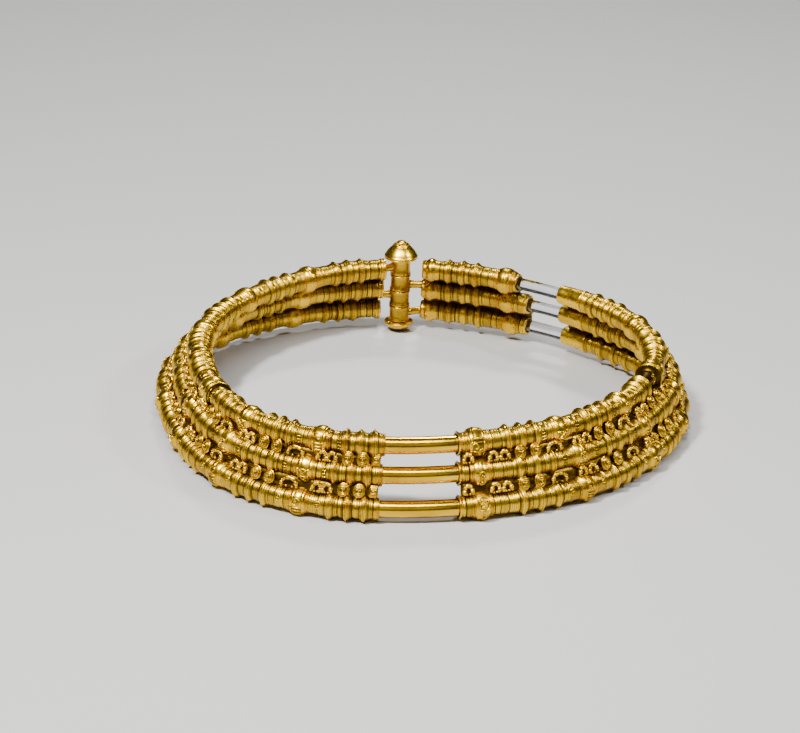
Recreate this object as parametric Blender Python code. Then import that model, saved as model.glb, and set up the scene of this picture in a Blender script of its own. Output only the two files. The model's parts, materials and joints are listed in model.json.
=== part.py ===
"""A hinged collar of three gold rings, one above the other, lying on a table.

Seen from above, azimuths run from +X (the wearer's side, right in the picture) through +Y (the
hinge, at the back) to -Y (the opening, at the front). Rings are numbered from the top.
Each ring is a tube of beaded and swollen gold. The rings are soldered into two halves that turn on
one hinge pin, and three smooth rods close the gap between the halves at the front. A length of the
right half is lost, and clear rods bridge the loss.
"""
import math

import bmesh
import bpy
from mathutils import Vector

# The plan of the rings: the centre line of the top ring, and how far it is bent out of round
TOP_RING_RADIUS = 0.0880
OVAL_BEND = 0.0022
OVAL_DIRECTION = 57.0
THREE_LOBED_BEND = 0.0028
THREE_LOBED_DIRECTION = 3.4
FIVE_LOBED_BEND = 0.0010
FIVE_LOBED_DIRECTION = 22.0

# How each ring lies below and outside the one above it
TOP_TO_MIDDLE_DROP = 0.0099
MIDDLE_TO_BOTTOM_DROP = 0.0111
TOP_TO_MIDDLE_STEP = 0.0041
MIDDLE_TO_BOTTOM_STEP = 0.0049

# Where the collar is pressed out of shape, each ring by its own amount. At the left of the back the
# rings stand closer in height and further apart in plan; at the right the top ring is pressed in.
LEFT_BACK_BEND_AZIMUTH = 152.0
LEFT_BACK_BEND_REACH = 38.0
LEFT_BACK_SPREAD = (0.0, 0.0025, 0.0048)
LEFT_BACK_RISE = (-0.0015, 0.0, 0.0010)
RIGHT_BEND_AZIMUTH = 8.0
RIGHT_BEND_REACH = 30.0
RIGHT_SPREAD = (-0.0015, 0.0005, -0.0005)

# Ends of the pieces, as azimuths in degrees; the loss has ends of its own on each ring
LEFT_FRONT_END = 263.8
LEFT_HINGE_END = 101.8
RIGHT_FRONT_END = 280.4
RIGHT_BREAK_ENDS = (412.6, 413.8, 414.8)
HINGE_SIDE_BREAK_ENDS = (65.6, 63.4, 64.9)
HINGE_SIDE_END = 92.2
HINGE_AZIMUTH = 97.5

# The swellings of the tubes, as azimuths; three sharp beads stand between each two of them.
# The left half's pattern goes on to a swelling that would stand in the front gap.
SWELLING_IN_GAP = 268.2
LEFT_TOP_SWELLINGS = (249.5, 230.5, 211.5, 192.0, 171.0, 145.5, 123.5)
LEFT_LOWER_SWELLINGS = (247.5, 227.0, 206.5, 187.0, 167.5, 145.5, 123.5)
RIGHT_TOP_SWELLINGS = (284.8, 307.0, 330.2, 354.3, 384.5)
RIGHT_LOWER_SWELLINGS = (285.5, 311.5, 335.5, 355.3, 384.5)
HINGE_SIDE_SWELLING = 69.4

# Round radii of the tubes; the solids have six sides, whose corners stand a little outside them
TUBE_RADIUS = 0.0039
BEAD_RADIUS = 0.0050
SWELLING_RADIUS = 0.0052
END_COLLAR_RADIUS = 0.0047
MOUTH_RADIUS = 0.0050
FLARE_RADIUS = 0.0049
FLARE_END_RADIUS = 0.0036
BREAK_COLLAR_RADIUS = 0.0041
BREAK_END_RADIUS = 0.0037
TUBE_SIDES = 6
CORNER_ALLOWANCE = 1.05
SWELLING_LENGTH = 0.0058
END_COLLAR_LENGTH = 0.0021
FLARE_LENGTH = 0.0077
BREAK_COLLAR_LENGTH = 0.0122
BEAD_MIDDLE_SHARE = 0.53
BEAD_SPACING_SHARE = 0.165

# The top ring's skin is lost here, and its core shows
BARE_CORE_AZIMUTH = 347.9
BARE_CORE_LENGTH = 0.0095
BARE_CORE_RADIUS = 0.0033

# Smooth rods that close the front, fixed in the left half and loose in the right one
ROD_RADIUS = 0.0032
ROD_SEAT_DEPTH = 0.0018
ROD_ENGAGEMENT = 0.0050
ROD_END_ROOM = 0.0015
ROD_PLAY = 0.0006
ROD_SIDES = 12

# Clear rods that bridge the loss
CLEAR_ROD_RADIUS = 0.0024
CLEAR_ROD_DEPTH = 0.0040
CLEAR_ROD_SIDES = 10

# Small heads and animals in the two grooves between the rings, four animals and two heads from one
# swelling to the next, placed as shares of the way
FIGURE_SHARES = (-0.11, 0.01, 0.24, 0.36, 0.52, 0.695)
FIGURE_HEIGHT = 0.0044
FIGURE_STAND = 0.0049
FIGURE_WAIST = 0.45
ROW_END_ROOM = 0.0010

# The hinge: four knuckles on one pin with a knob at each end
KNUCKLE_RADIUS = 0.0043
KNUCKLE_COUNT = 4
HINGE_RISE = 0.0028
PIN_RADIUS = 0.0016
PIN_PLAY = 0.0004
HINGE_SIDES = 12
LUG_HEIGHT = 0.0036
LUG_THICKNESS = 0.0030
TOP_KNOB_RADIUS = 0.0067
TOP_KNOB_HEIGHT = 0.0072
BOTTOM_KNOB_RADIUS = 0.0059
BOTTOM_KNOB_HEIGHT = 0.0042
FOOT_RADIUS = 0.0016

# The gap that faces keep where two pieces touch, and how near the floor a face is laid on it
GAP = 0.0003
FLOOR_TOUCH = 0.0001

TOP, MIDDLE, BOTTOM = range(3)
RING_NAMES = ("top", "middle", "bottom")
RING_RADII = (
    TOP_RING_RADIUS,
    TOP_RING_RADIUS + TOP_TO_MIDDLE_STEP,
    TOP_RING_RADIUS + TOP_TO_MIDDLE_STEP + MIDDLE_TO_BOTTOM_STEP,
)
RING_HEIGHTS = (TOP_TO_MIDDLE_DROP + MIDDLE_TO_BOTTOM_DROP, MIDDLE_TO_BOTTOM_DROP, 0.0)
PLAN_BENDS = (
    (2, OVAL_BEND, OVAL_DIRECTION),
    (3, THREE_LOBED_BEND, THREE_LOBED_DIRECTION),
    (5, FIVE_LOBED_BEND, FIVE_LOBED_DIRECTION),
)
UP = Vector((0.0, 0.0, 1.0))


def clear_scene():
    """Remove every object, so that the script can run in any file."""
    for item in list(bpy.data.objects):
        bpy.data.objects.remove(item, do_unlink=True)


def make_material(name, color, metallic, roughness, transmission=0.0):
    """One Principled material."""
    material = bpy.data.materials.new(name)
    material.use_nodes = True
    shader = material.node_tree.nodes["Principled BSDF"]
    shader.inputs["Base Color"].default_value = (*color, 1.0)
    shader.inputs["Metallic"].default_value = metallic
    shader.inputs["Roughness"].default_value = roughness
    shader.inputs["Transmission Weight"].default_value = transmission
    return material


def nearness(azimuth, middle, reach):
    """How near an azimuth is to the middle of a bend: 1 there, and 0 far from it."""
    offset = (azimuth - middle + 180.0) % 360.0 - 180.0
    return math.exp(-(offset / reach) ** 2)


def ring_point(azimuth, ring):
    """The centre line of a ring at an azimuth in degrees."""
    left_back = nearness(azimuth, LEFT_BACK_BEND_AZIMUTH, LEFT_BACK_BEND_REACH)
    right = nearness(azimuth, RIGHT_BEND_AZIMUTH, RIGHT_BEND_REACH)
    radius = RING_RADII[ring] + LEFT_BACK_SPREAD[ring] * left_back + RIGHT_SPREAD[ring] * right
    for lobes, size, direction in PLAN_BENDS:
        radius += size * math.cos(math.radians(lobes * (azimuth - direction)))
    angle = math.radians(azimuth)
    height = RING_HEIGHTS[ring] + LEFT_BACK_RISE[ring] * left_back
    return Vector((radius * math.cos(angle), radius * math.sin(angle), height))


def along(azimuth, ring):
    """The direction of a ring's centre line, with the azimuth growing."""
    return (ring_point(azimuth + 0.5, ring) - ring_point(azimuth - 0.5, ring)).normalized()


def outward(azimuth, ring):
    """The level direction that points away from the neck."""
    return along(azimuth, ring).cross(UP).normalized()


def degrees_for(length, ring):
    """How many degrees of a ring a length takes."""
    return math.degrees(length / RING_RADII[ring])


def polygon(centre, side, up, radius, sides, turn=0.0):
    """The corners of a regular polygon about a centre, the first at the angle turn from side."""
    corners = []
    for step in range(sides):
        angle = math.radians(turn) + 2.0 * math.pi * step / sides
        corners.append(centre + radius * (side * math.cos(angle) + up * math.sin(angle)))
    return corners


def section_turn(ring):
    """Turn of a tube's section: a flat faces the next ring, and below on the bottom ring."""
    if ring == BOTTOM:
        return 0.0
    lean = math.atan2(TOP_TO_MIDDLE_STEP, TOP_TO_MIDDLE_DROP)
    return math.degrees(lean)


def tube_loop(azimuth, ring, radius):
    """One six-sided section of a tube."""
    centre = ring_point(azimuth, ring)
    return polygon(centre, outward(azimuth, ring), UP, radius * CORNER_ALLOWANCE,
                   TUBE_SIDES, section_turn(ring))


def bore_loop(azimuth, ring, clear_radius):
    """One six-sided section of a bore whose flats clear a round rod of this radius."""
    centre = ring_point(azimuth, ring)
    corner = clear_radius / math.cos(math.pi / TUBE_SIDES)
    return polygon(centre, outward(azimuth, ring), UP, corner, TUBE_SIDES, section_turn(ring))


def loft(loops):
    """A closed mesh through loops of equal count, capped at both ends."""
    shape = bmesh.new()
    rows = [[shape.verts.new(point) for point in loop] for loop in loops]
    for near, far in zip(rows, rows[1:]):
        count = len(near)
        for index in range(count):
            after = (index + 1) % count
            shape.faces.new((near[index], near[after], far[after], far[index]))
    shape.faces.new(rows[0])
    shape.faces.new(rows[-1])
    bmesh.ops.recalc_face_normals(shape, faces=shape.faces)
    return shape


def add_object(name, shape, material, parent):
    """Make a named object of a bmesh, with its material, under the stance empty."""
    mesh = bpy.data.meshes.new(name)
    shape.to_mesh(mesh)
    shape.free()
    mesh.materials.append(material)
    item = bpy.data.objects.new(name, mesh)
    bpy.context.collection.objects.link(item)
    item.parent = parent
    return item


def combine(item, tool, operation):
    """Join a tool to an object, or cut the tool from it, and remove the tool."""
    modifier = item.modifiers.new(operation.lower(), "BOOLEAN")
    modifier.operation = operation
    modifier.solver = "EXACT"
    modifier.object = tool
    bpy.context.view_layer.update()
    evaluated = item.evaluated_get(bpy.context.evaluated_depsgraph_get())
    result = bpy.data.meshes.new_from_object(evaluated)
    item.modifiers.remove(modifier)
    item.data = result
    bpy.data.objects.remove(tool, do_unlink=True)


def bead_profile(first, second):
    """Azimuths and radii of the three sharp beads between two swellings."""
    middle = first + BEAD_MIDDLE_SHARE * (second - first)
    spacing = BEAD_SPACING_SHARE * (second - first)
    profile = []
    for step in range(-3, 4):
        radius = TUBE_RADIUS if step % 2 else BEAD_RADIUS
        profile.append((middle + 0.5 * step * spacing, radius))
    return profile


def left_swellings(ring):
    """Azimuths of the swellings on a ring of the left half, from the front."""
    return LEFT_TOP_SWELLINGS if ring == TOP else LEFT_LOWER_SWELLINGS


def right_swellings(ring):
    """Azimuths of the swellings on a ring of the right half, from the front."""
    return RIGHT_TOP_SWELLINGS if ring == TOP else RIGHT_LOWER_SWELLINGS


def swelling_profile(azimuth, ring, direction):
    """Azimuths and radii of one swelling, in the order that the tube is walked."""
    half = direction * degrees_for(SWELLING_LENGTH / 2.0, ring)
    return [(azimuth - half, SWELLING_RADIUS), (azimuth + half, SWELLING_RADIUS)]


def tube_mesh(ring, profile, start_bore=None, end_bore=None):
    """A tube through its profile; a bore is the clear radius and the depth of a blind hole."""
    loops = [tube_loop(azimuth, ring, radius) for azimuth, radius in profile]
    direction = math.copysign(1.0, profile[-1][0] - profile[0][0])
    if start_bore:
        clear_radius, depth = start_bore
        mouth = profile[0][0]
        bottom = mouth + direction * degrees_for(depth, ring)
        loops[:0] = [bore_loop(bottom, ring, clear_radius), bore_loop(mouth, ring, clear_radius)]
    if end_bore:
        clear_radius, depth = end_bore
        mouth = profile[-1][0]
        bottom = mouth - direction * degrees_for(depth, ring)
        loops += [bore_loop(mouth, ring, clear_radius), bore_loop(bottom, ring, clear_radius)]
    return loft(loops)


def body_profile(ring, swellings, before, after, direction):
    """Swellings with beads between them, from a virtual swelling before to one after."""
    stops = (before, *swellings, after)
    profile = []
    for index, (near, far) in enumerate(zip(stops, stops[1:])):
        profile += bead_profile(near, far)
        if index < len(swellings):
            profile += swelling_profile(far, ring, direction)
    return profile


def collar_profile(end, ring, direction, length, radius):
    """A straight collar from one end of a tube inwards; direction points into the tube."""
    inner = end + direction * degrees_for(length, ring)
    return [(end, radius), (inner, radius)]


def left_tube(ring):
    """A ring of the left half, from its front end to its hinge end."""
    profile = collar_profile(LEFT_FRONT_END, ring, -1.0, END_COLLAR_LENGTH, END_COLLAR_RADIUS)
    profile += body_profile(ring, left_swellings(ring), SWELLING_IN_GAP, LEFT_HINGE_END, -1.0)
    profile += collar_profile(LEFT_HINGE_END, ring, 1.0, END_COLLAR_LENGTH, END_COLLAR_RADIUS)[::-1]
    seat = (ROD_RADIUS + GAP, ROD_SEAT_DEPTH)
    return tube_mesh(ring, profile, start_bore=seat)


def right_tube(ring):
    """A ring of the right half, from the mouth at the front to the break at the back."""
    swellings = right_swellings(ring)
    profile = [(RIGHT_FRONT_END, MOUTH_RADIUS)]
    profile += swelling_profile(swellings[0], ring, 1.0)
    break_end = RIGHT_BREAK_ENDS[ring]
    collar_start = break_end - degrees_for(BREAK_COLLAR_LENGTH, ring)
    profile += body_profile(ring, swellings[1:], swellings[0],
                            (collar_start + break_end) / 2.0, 1.0)
    profile += [(collar_start, BREAK_COLLAR_RADIUS), (break_end, BREAK_END_RADIUS)]
    socket = (ROD_RADIUS + ROD_PLAY, ROD_ENGAGEMENT + ROD_END_ROOM)
    clear_seat = (CLEAR_ROD_RADIUS + GAP, CLEAR_ROD_DEPTH + GAP)
    if ring == TOP:
        profile = bare_core(profile, ring)
    return tube_mesh(ring, profile, start_bore=socket, end_bore=clear_seat)


def bare_core(profile, ring):
    """Put the bare core in a profile, in place of what would stand there."""
    half = degrees_for(BARE_CORE_LENGTH / 2.0, ring)
    slope = degrees_for(GAP, ring)
    first, last = BARE_CORE_AZIMUTH - half, BARE_CORE_AZIMUTH + half
    core = [(first, TUBE_RADIUS), (first + slope, BARE_CORE_RADIUS),
            (last - slope, BARE_CORE_RADIUS), (last, TUBE_RADIUS)]
    before = [stop for stop in profile if stop[0] < first - slope]
    after = [stop for stop in profile if stop[0] > last + slope]
    return before + core + after


def hinge_side_tube(ring):
    """The short length of a ring between the clear rod and the hinge."""
    flare_start = HINGE_SIDE_END - degrees_for(FLARE_LENGTH, ring)
    flare_peak = HINGE_SIDE_END - degrees_for(FLARE_LENGTH / 2.0, ring)
    profile = [(HINGE_SIDE_BREAK_ENDS[ring], BREAK_END_RADIUS)]
    profile += swelling_profile(HINGE_SIDE_SWELLING, ring, 1.0)
    profile += bead_profile(HINGE_SIDE_SWELLING, HINGE_SIDE_END)
    profile += [(flare_start, TUBE_RADIUS), (flare_peak, FLARE_RADIUS),
                (HINGE_SIDE_END, FLARE_END_RADIUS)]
    clear_seat = (CLEAR_ROD_RADIUS + GAP, CLEAR_ROD_DEPTH + GAP)
    return tube_mesh(ring, profile, start_bore=clear_seat)


def rod_mesh(ring, start, end, radius, sides):
    """A smooth round rod that follows a ring."""
    steps = 5
    loops = []
    for step in range(steps + 1):
        azimuth = start + (end - start) * step / steps
        loops.append(polygon(ring_point(azimuth, ring), outward(azimuth, ring), UP, radius, sides))
    return loft(loops)


def locking_rod(ring):
    """A rod from its seat in the left half to its place in the right half's socket."""
    start = LEFT_FRONT_END - degrees_for(ROD_SEAT_DEPTH - GAP, ring)
    end = RIGHT_FRONT_END + degrees_for(ROD_ENGAGEMENT, ring)
    return rod_mesh(ring, start, end, ROD_RADIUS, ROD_SIDES)


def clear_rod(ring):
    """A clear rod with an end in each side of the loss."""
    start = RIGHT_BREAK_ENDS[ring] - 360.0 - degrees_for(CLEAR_ROD_DEPTH, ring)
    end = HINGE_SIDE_BREAK_ENDS[ring] + degrees_for(CLEAR_ROD_DEPTH, ring)
    return rod_mesh(ring, start, end, CLEAR_ROD_RADIUS, CLEAR_ROD_SIDES)


def groove_frame(azimuth, upper):
    """Middle of the groove under a ring, the way across it and the way out of it."""
    above = ring_point(azimuth, upper)
    below = ring_point(azimuth, upper + 1)
    across = below - above
    out = along(azimuth, upper).cross(across).normalized()
    if out.dot(outward(azimuth, upper)) < 0.0:
        out.negate()
    return (above + below) / 2.0, across, out


def row_loop(azimuth, upper, share):
    """A three-sided section of a row of figures, its point in the groove; share is its height."""
    middle, across, out = groove_frame(azimuth, upper)
    corner = SWELLING_RADIUS * CORNER_ALLOWANCE
    inner = corner / 2.0 - GAP / 2.0
    stand = inner + (FIGURE_STAND - inner) * (0.5 + 0.5 * share)
    free = across.length / 2.0 - corner * math.sqrt(0.75) + math.sqrt(3.0) * (stand - corner / 2.0)
    half = share * min(FIGURE_HEIGHT / 2.0, max(free - GAP, GAP))
    way = across.normalized()
    return [
        middle + out * inner,
        middle + out * stand + way * half,
        middle + out * stand - way * half,
    ]


def figure_row(upper, start, end, swellings):
    """A row of small figures soldered in the groove under a ring, drawn as one body."""
    radius = (RING_RADII[upper] + RING_RADII[upper + 1]) / 2.0
    direction = math.copysign(1.0, end - start)
    room = direction * math.degrees(ROW_END_ROOM / radius)
    half_figure = math.degrees(FIGURE_HEIGHT / 2.0 / radius)
    first = start + room
    last = end - room
    places = [near + share * (far - near)
              for near, far in zip(swellings, swellings[1:]) for share in FIGURE_SHARES]
    places = [place for place in places
              if min(direction * (place - first), direction * (last - place)) > half_figure]
    loops = [row_loop(first, upper, FIGURE_WAIST)]
    for place, after in zip(places, places[1:] + [last]):
        loops.append(row_loop(place, upper, 1.0))
        waist = last if after == last else (place + after) / 2.0
        loops.append(row_loop(waist, upper, FIGURE_WAIST))
    return loft(loops)


def hinge_foot_point():
    """The hinge axis at the height of the bottom ring's centre line."""
    point = ring_point(HINGE_AZIMUTH, MIDDLE)
    return Vector((point.x, point.y, 0.0))


def column_height():
    """Height of the four knuckles together."""
    return RING_HEIGHTS[TOP] + 2.0 * HINGE_RISE


def knuckle_span(index):
    """Lowest and highest point of a knuckle, counted from the top, with half a gap at each end."""
    pitch = column_height() / KNUCKLE_COUNT
    high = RING_HEIGHTS[TOP] + HINGE_RISE - index * pitch
    return high - pitch + GAP / 2.0, high - GAP / 2.0


def upright(low, high, radius):
    """A round upright body about the hinge axis."""
    foot = hinge_foot_point()
    side = Vector((1.0, 0.0, 0.0))
    across = Vector((0.0, 1.0, 0.0))
    return loft([
        polygon(foot + UP * low, side, across, radius, HINGE_SIDES),
        polygon(foot + UP * high, side, across, radius, HINGE_SIDES),
    ])


def lug(ring, tube_end, into_tube, index):
    """A short bar from a knuckle to the end of its tube."""
    low, high = knuckle_span(index)
    axis = hinge_foot_point()
    end = ring_point(tube_end + into_tube * degrees_for(END_COLLAR_LENGTH, ring), ring)
    level = min(max(end.z, low + LUG_HEIGHT / 2.0 + GAP), high - LUG_HEIGHT / 2.0 - GAP)
    near = Vector((axis.x, axis.y, level))
    way = Vector((end.x - axis.x, end.y - axis.y, 0.0))
    near += way.normalized() * (KNUCKLE_RADIUS + PIN_RADIUS + PIN_PLAY) / 2.0
    far = Vector((end.x, end.y, level))
    side = way.cross(UP).normalized()
    loops = []
    for centre in (near, far):
        half_side = side * LUG_THICKNESS / 2.0
        half_up = UP * LUG_HEIGHT / 2.0
        loops.append([centre + half_side + half_up, centre - half_side + half_up,
                      centre - half_side - half_up, centre + half_side - half_up])
    return loft(loops)


def add_knuckle(item, ring, tube_end, into_tube, index, material, stance):
    """Fuse a knuckle and its lug to a tube, then bore the knuckle for the pin."""
    low, high = knuckle_span(index)
    bar = add_object("lug_tool", lug(ring, tube_end, into_tube, index), material, stance)
    combine(item, bar, "UNION")
    barrel = add_object("barrel_tool", upright(low, high, KNUCKLE_RADIUS), material, stance)
    combine(item, barrel, "UNION")
    hole = upright(low - 2.0 * GAP, high + 2.0 * GAP, PIN_RADIUS + PIN_PLAY)
    combine(item, add_object("hole_tool", hole, material, stance), "DIFFERENCE")


def hinge_pin():
    """The pin with its stepped knob above and its plain one below, turned as one body."""
    top = RING_HEIGHTS[TOP] + HINGE_RISE + GAP
    base = -HINGE_RISE - GAP
    profile = [
        (FOOT_RADIUS, base - BOTTOM_KNOB_HEIGHT),
        (0.46 * BOTTOM_KNOB_RADIUS, base - 0.86 * BOTTOM_KNOB_HEIGHT),
        (0.78 * BOTTOM_KNOB_RADIUS, base - 0.48 * BOTTOM_KNOB_HEIGHT),
        (BOTTOM_KNOB_RADIUS, base - 0.16 * BOTTOM_KNOB_HEIGHT),
        (BOTTOM_KNOB_RADIUS, base),
        (PIN_RADIUS, base),
        (PIN_RADIUS, top),
        (TOP_KNOB_RADIUS, top),
        (TOP_KNOB_RADIUS, top + 0.13 * TOP_KNOB_HEIGHT),
        (0.80 * TOP_KNOB_RADIUS, top + 0.36 * TOP_KNOB_HEIGHT),
        (0.48 * TOP_KNOB_RADIUS, top + 0.66 * TOP_KNOB_HEIGHT),
        (0.38 * TOP_KNOB_RADIUS, top + 0.70 * TOP_KNOB_HEIGHT),
        (0.33 * TOP_KNOB_RADIUS, top + 0.86 * TOP_KNOB_HEIGHT),
        (0.13 * TOP_KNOB_RADIUS, top + TOP_KNOB_HEIGHT),
    ]
    foot = hinge_foot_point()
    side = Vector((1.0, 0.0, 0.0))
    across = Vector((0.0, 1.0, 0.0))
    return loft([polygon(foot + UP * height, side, across, radius, HINGE_SIDES)
                 for radius, height in profile])


def foot_points():
    """Where the collar stands: under the pin, and under a front swelling of each half."""
    pin_foot = hinge_foot_point() - UP * (HINGE_RISE + GAP + BOTTOM_KNOB_HEIGHT)
    depth = SWELLING_RADIUS * CORNER_ALLOWANCE * math.cos(math.pi / TUBE_SIDES)
    left = ring_point(left_swellings(BOTTOM)[0], BOTTOM) - UP * depth
    right = ring_point(right_swellings(BOTTOM)[0], BOTTOM) - UP * depth
    return pin_foot, left, right


def floor_normal():
    """The upward normal of the floor, seen from the collar's own level."""
    pin_foot, left, right = foot_points()
    return (left - pin_foot).cross(right - pin_foot).normalized()


def lay_on_floor(shape):
    """Bring the faces that all but touch the floor exactly onto it."""
    origin = foot_points()[0]
    normal = floor_normal()
    for vertex in shape.verts:
        height = (vertex.co - origin).dot(normal)
        if abs(height) < FLOOR_TOUCH:
            vertex.co.z -= height / normal.z
    return shape


def place_stance(stance, items):
    """Stand the collar on the floor with the middle of its box over the origin."""
    stance.rotation_euler = floor_normal().rotation_difference(UP).to_euler()
    bpy.context.view_layer.update()
    corners = [item.matrix_world @ vertex.co for item in items for vertex in item.data.vertices]
    lowest = Vector([min(corner[axis] for corner in corners) for axis in range(3)])
    highest = Vector([max(corner[axis] for corner in corners) for axis in range(3)])
    middle = (lowest + highest) / 2.0
    stance.location = (-middle.x, -middle.y, -lowest.z)
    bpy.context.view_layer.update()


def build_left_half(gold, stance):
    """Tubes, figures, locking rods and the pin, which move together."""
    items = []
    for ring, name in enumerate(RING_NAMES):
        tube = left_tube(ring)
        if ring == BOTTOM:
            lay_on_floor(tube)
        items.append(add_object(f"left_{name}_tube", tube, gold, stance))
        items.append(add_object(f"locking_rod_{name}", locking_rod(ring), gold, stance))
    add_knuckle(items[0], TOP, LEFT_HINGE_END, 1.0, 0, gold, stance)
    add_knuckle(items[2], MIDDLE, LEFT_HINGE_END, 1.0, 2, gold, stance)
    for upper, name in ((TOP, "upper"), (MIDDLE, "lower")):
        stops = (SWELLING_IN_GAP, *left_swellings(upper), LEFT_HINGE_END)
        row = figure_row(upper, LEFT_FRONT_END, LEFT_HINGE_END, stops)
        items.append(add_object(f"left_{name}_figures", row, gold, stance))
    items.append(add_object("hinge_pin", lay_on_floor(hinge_pin()), gold, stance))
    return items


def build_right_half(gold, clear, stance):
    """Tubes and figures on both sides of the loss, and the clear rods between them."""
    items = []
    hinge_side = []
    for ring, name in enumerate(RING_NAMES):
        tube = right_tube(ring)
        if ring == BOTTOM:
            lay_on_floor(tube)
        items.append(add_object(f"right_{name}_tube", tube, gold, stance))
        items.append(add_object(f"clear_rod_{name}", clear_rod(ring), clear, stance))
        hinge_side.append(add_object(f"hinge_side_{name}_tube", hinge_side_tube(ring), gold, stance))
    add_knuckle(hinge_side[MIDDLE], MIDDLE, HINGE_SIDE_END, -1.0, 1, gold, stance)
    add_knuckle(hinge_side[BOTTOM], BOTTOM, HINGE_SIDE_END, -1.0, 3, gold, stance)
    for upper, name in ((TOP, "upper"), (MIDDLE, "lower")):
        stops = (*right_swellings(upper), RIGHT_BREAK_ENDS[upper])
        row = figure_row(upper, RIGHT_FRONT_END, RIGHT_BREAK_ENDS[upper], stops)
        items.append(add_object(f"right_{name}_figures", row, gold, stance))
        stops = (HINGE_SIDE_SWELLING, HINGE_SIDE_END)
        row = figure_row(upper, HINGE_SIDE_BREAK_ENDS[upper], HINGE_SIDE_END, stops)
        items.append(add_object(f"hinge_side_{name}_figures", row, gold, stance))
    return items + hinge_side


def main():
    """Build the whole collar."""
    clear_scene()
    gold = make_material("gold", (0.83, 0.56, 0.17), 1.0, 0.28)
    clear = make_material("clear_acrylic", (0.93, 0.95, 0.96), 0.0, 0.04, transmission=1.0)
    stance = bpy.data.objects.new("stance", None)
    bpy.context.collection.objects.link(stance)
    items = build_left_half(gold, stance) + build_right_half(gold, clear, stance)
    place_stance(stance, items)


main()
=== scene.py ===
"""Looks of the three-ring gold collar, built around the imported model.

Lengths here are millimetres in the collar's own level: the middle of the rings' plan is the origin,
and the bottom ring's centre line is at height 0. Azimuths are degrees from +X (right) through +Y
(the hinge, at the back). to_world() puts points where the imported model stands.
"""
import json
import math

import bmesh
import bpy
import numpy as np
from mathutils import Matrix, Vector


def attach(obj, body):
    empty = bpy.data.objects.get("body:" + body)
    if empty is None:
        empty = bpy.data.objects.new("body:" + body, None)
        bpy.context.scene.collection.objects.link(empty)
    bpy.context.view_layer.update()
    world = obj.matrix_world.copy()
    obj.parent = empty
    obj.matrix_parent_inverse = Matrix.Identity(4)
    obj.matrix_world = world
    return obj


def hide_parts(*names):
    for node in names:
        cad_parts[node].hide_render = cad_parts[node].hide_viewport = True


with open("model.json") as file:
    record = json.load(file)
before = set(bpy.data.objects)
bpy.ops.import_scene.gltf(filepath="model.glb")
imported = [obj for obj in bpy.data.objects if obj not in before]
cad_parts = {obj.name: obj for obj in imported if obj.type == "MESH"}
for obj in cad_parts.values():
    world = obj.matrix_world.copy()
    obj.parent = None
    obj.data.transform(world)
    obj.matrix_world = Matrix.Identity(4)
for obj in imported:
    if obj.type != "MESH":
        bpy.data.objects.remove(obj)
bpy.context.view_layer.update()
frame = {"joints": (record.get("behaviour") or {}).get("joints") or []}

MM = 0.001

# Plan of the rings, the same as the solids'; a bend is its count of lobes, size and direction
TOP_RING_RADIUS = 88.0
PLAN_BENDS = ((2, 2.2, 57.0), (3, 2.8, 3.4), (5, 1.0, 22.0))
RING_STEPS = (0.0, 4.1, 9.0)
RING_HEIGHTS = (21.0, 11.1, 0.0)
RING_NAMES = ("top", "middle", "bottom")
TOP, MIDDLE, BOTTOM = range(3)

# Where the collar is pressed out of shape: middle and reach of a bend in degrees, and how far each
# ring is spread and raised there
LEFT_BACK_BEND = (152.0, 38.0)
LEFT_BACK_SPREAD = (0.0, 2.5, 4.8)
LEFT_BACK_RISE = (-1.5, 0.0, 1.0)
RIGHT_BEND = (8.0, 30.0)
RIGHT_SPREAD = (-1.5, 0.5, -0.5)

# Ends of the pieces and places of the swellings, as azimuths. Three beads stand between each two, and
# a first stop far before a tube's start puts none there.
LEFT_FRONT_END = 263.8
LEFT_HINGE_END = 101.8
RIGHT_FRONT_END = 280.4
RIGHT_BREAK_ENDS = (412.6, 413.8, 414.8)
HINGE_SIDE_BREAK_ENDS = (65.6, 63.4, 64.9)
HINGE_SIDE_END = 92.2
HINGE_AZIMUTH = 97.5
SWELLING_IN_GAP = 268.2
STOP_BEFORE_START = 40.0
LEFT_TOP_SWELLINGS = (249.5, 230.5, 211.5, 192.0, 171.0, 145.5, 123.5)
LEFT_LOWER_SWELLINGS = (247.5, 227.0, 206.5, 187.0, 167.5, 145.5, 123.5)
RIGHT_TOP_SWELLINGS = (284.8, 307.0, 330.2, 354.3, 384.5)
RIGHT_LOWER_SWELLINGS = (285.5, 311.5, 335.5, 355.3, 384.5)
LEFT_SWELLINGS = (LEFT_TOP_SWELLINGS, LEFT_LOWER_SWELLINGS, LEFT_LOWER_SWELLINGS)
RIGHT_SWELLINGS = (RIGHT_TOP_SWELLINGS, RIGHT_LOWER_SWELLINGS, RIGHT_LOWER_SWELLINGS)
HINGE_SIDE_SWELLING = 69.4
BEAD_MIDDLE_SHARE = 0.53
BEAD_SPACING_SHARE = 0.165

# The worked tubes: bare radius, and the fine wires wound on it in bands of uneven width
TUBE_RADIUS = 3.85
WIRE_PITCH = 0.76
WIRE_RISE = 0.24
WIRE_DRIFT = 0.10
# WIRE_SHADE is painted shade in the valleys between the wires; BAND_SHADE is an uneven darker tone of
# whole bands
WIRE_SHADE = 0.85
BAND_WIDTH = 2.4
BAND_SPREAD = 0.8
BAND_COUNT = 400
BAND_STEP = 0.10
BAND_GROOVE = 0.26
BAND_DEPTH = 0.15
BAND_SHADE = 0.5

# Phase steps of the sines that make bands and wires uneven, in place of random draws
BAND_WIDTH_PHASE = 2.39
BAND_STEP_PHASE = 7.3
BAND_SHADE_PHASE = 1.7
DRIFT_PHASE = 0.83
WIRE_PHASE = 12.9898
WIRE_BAND_PHASE = 3.1
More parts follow.
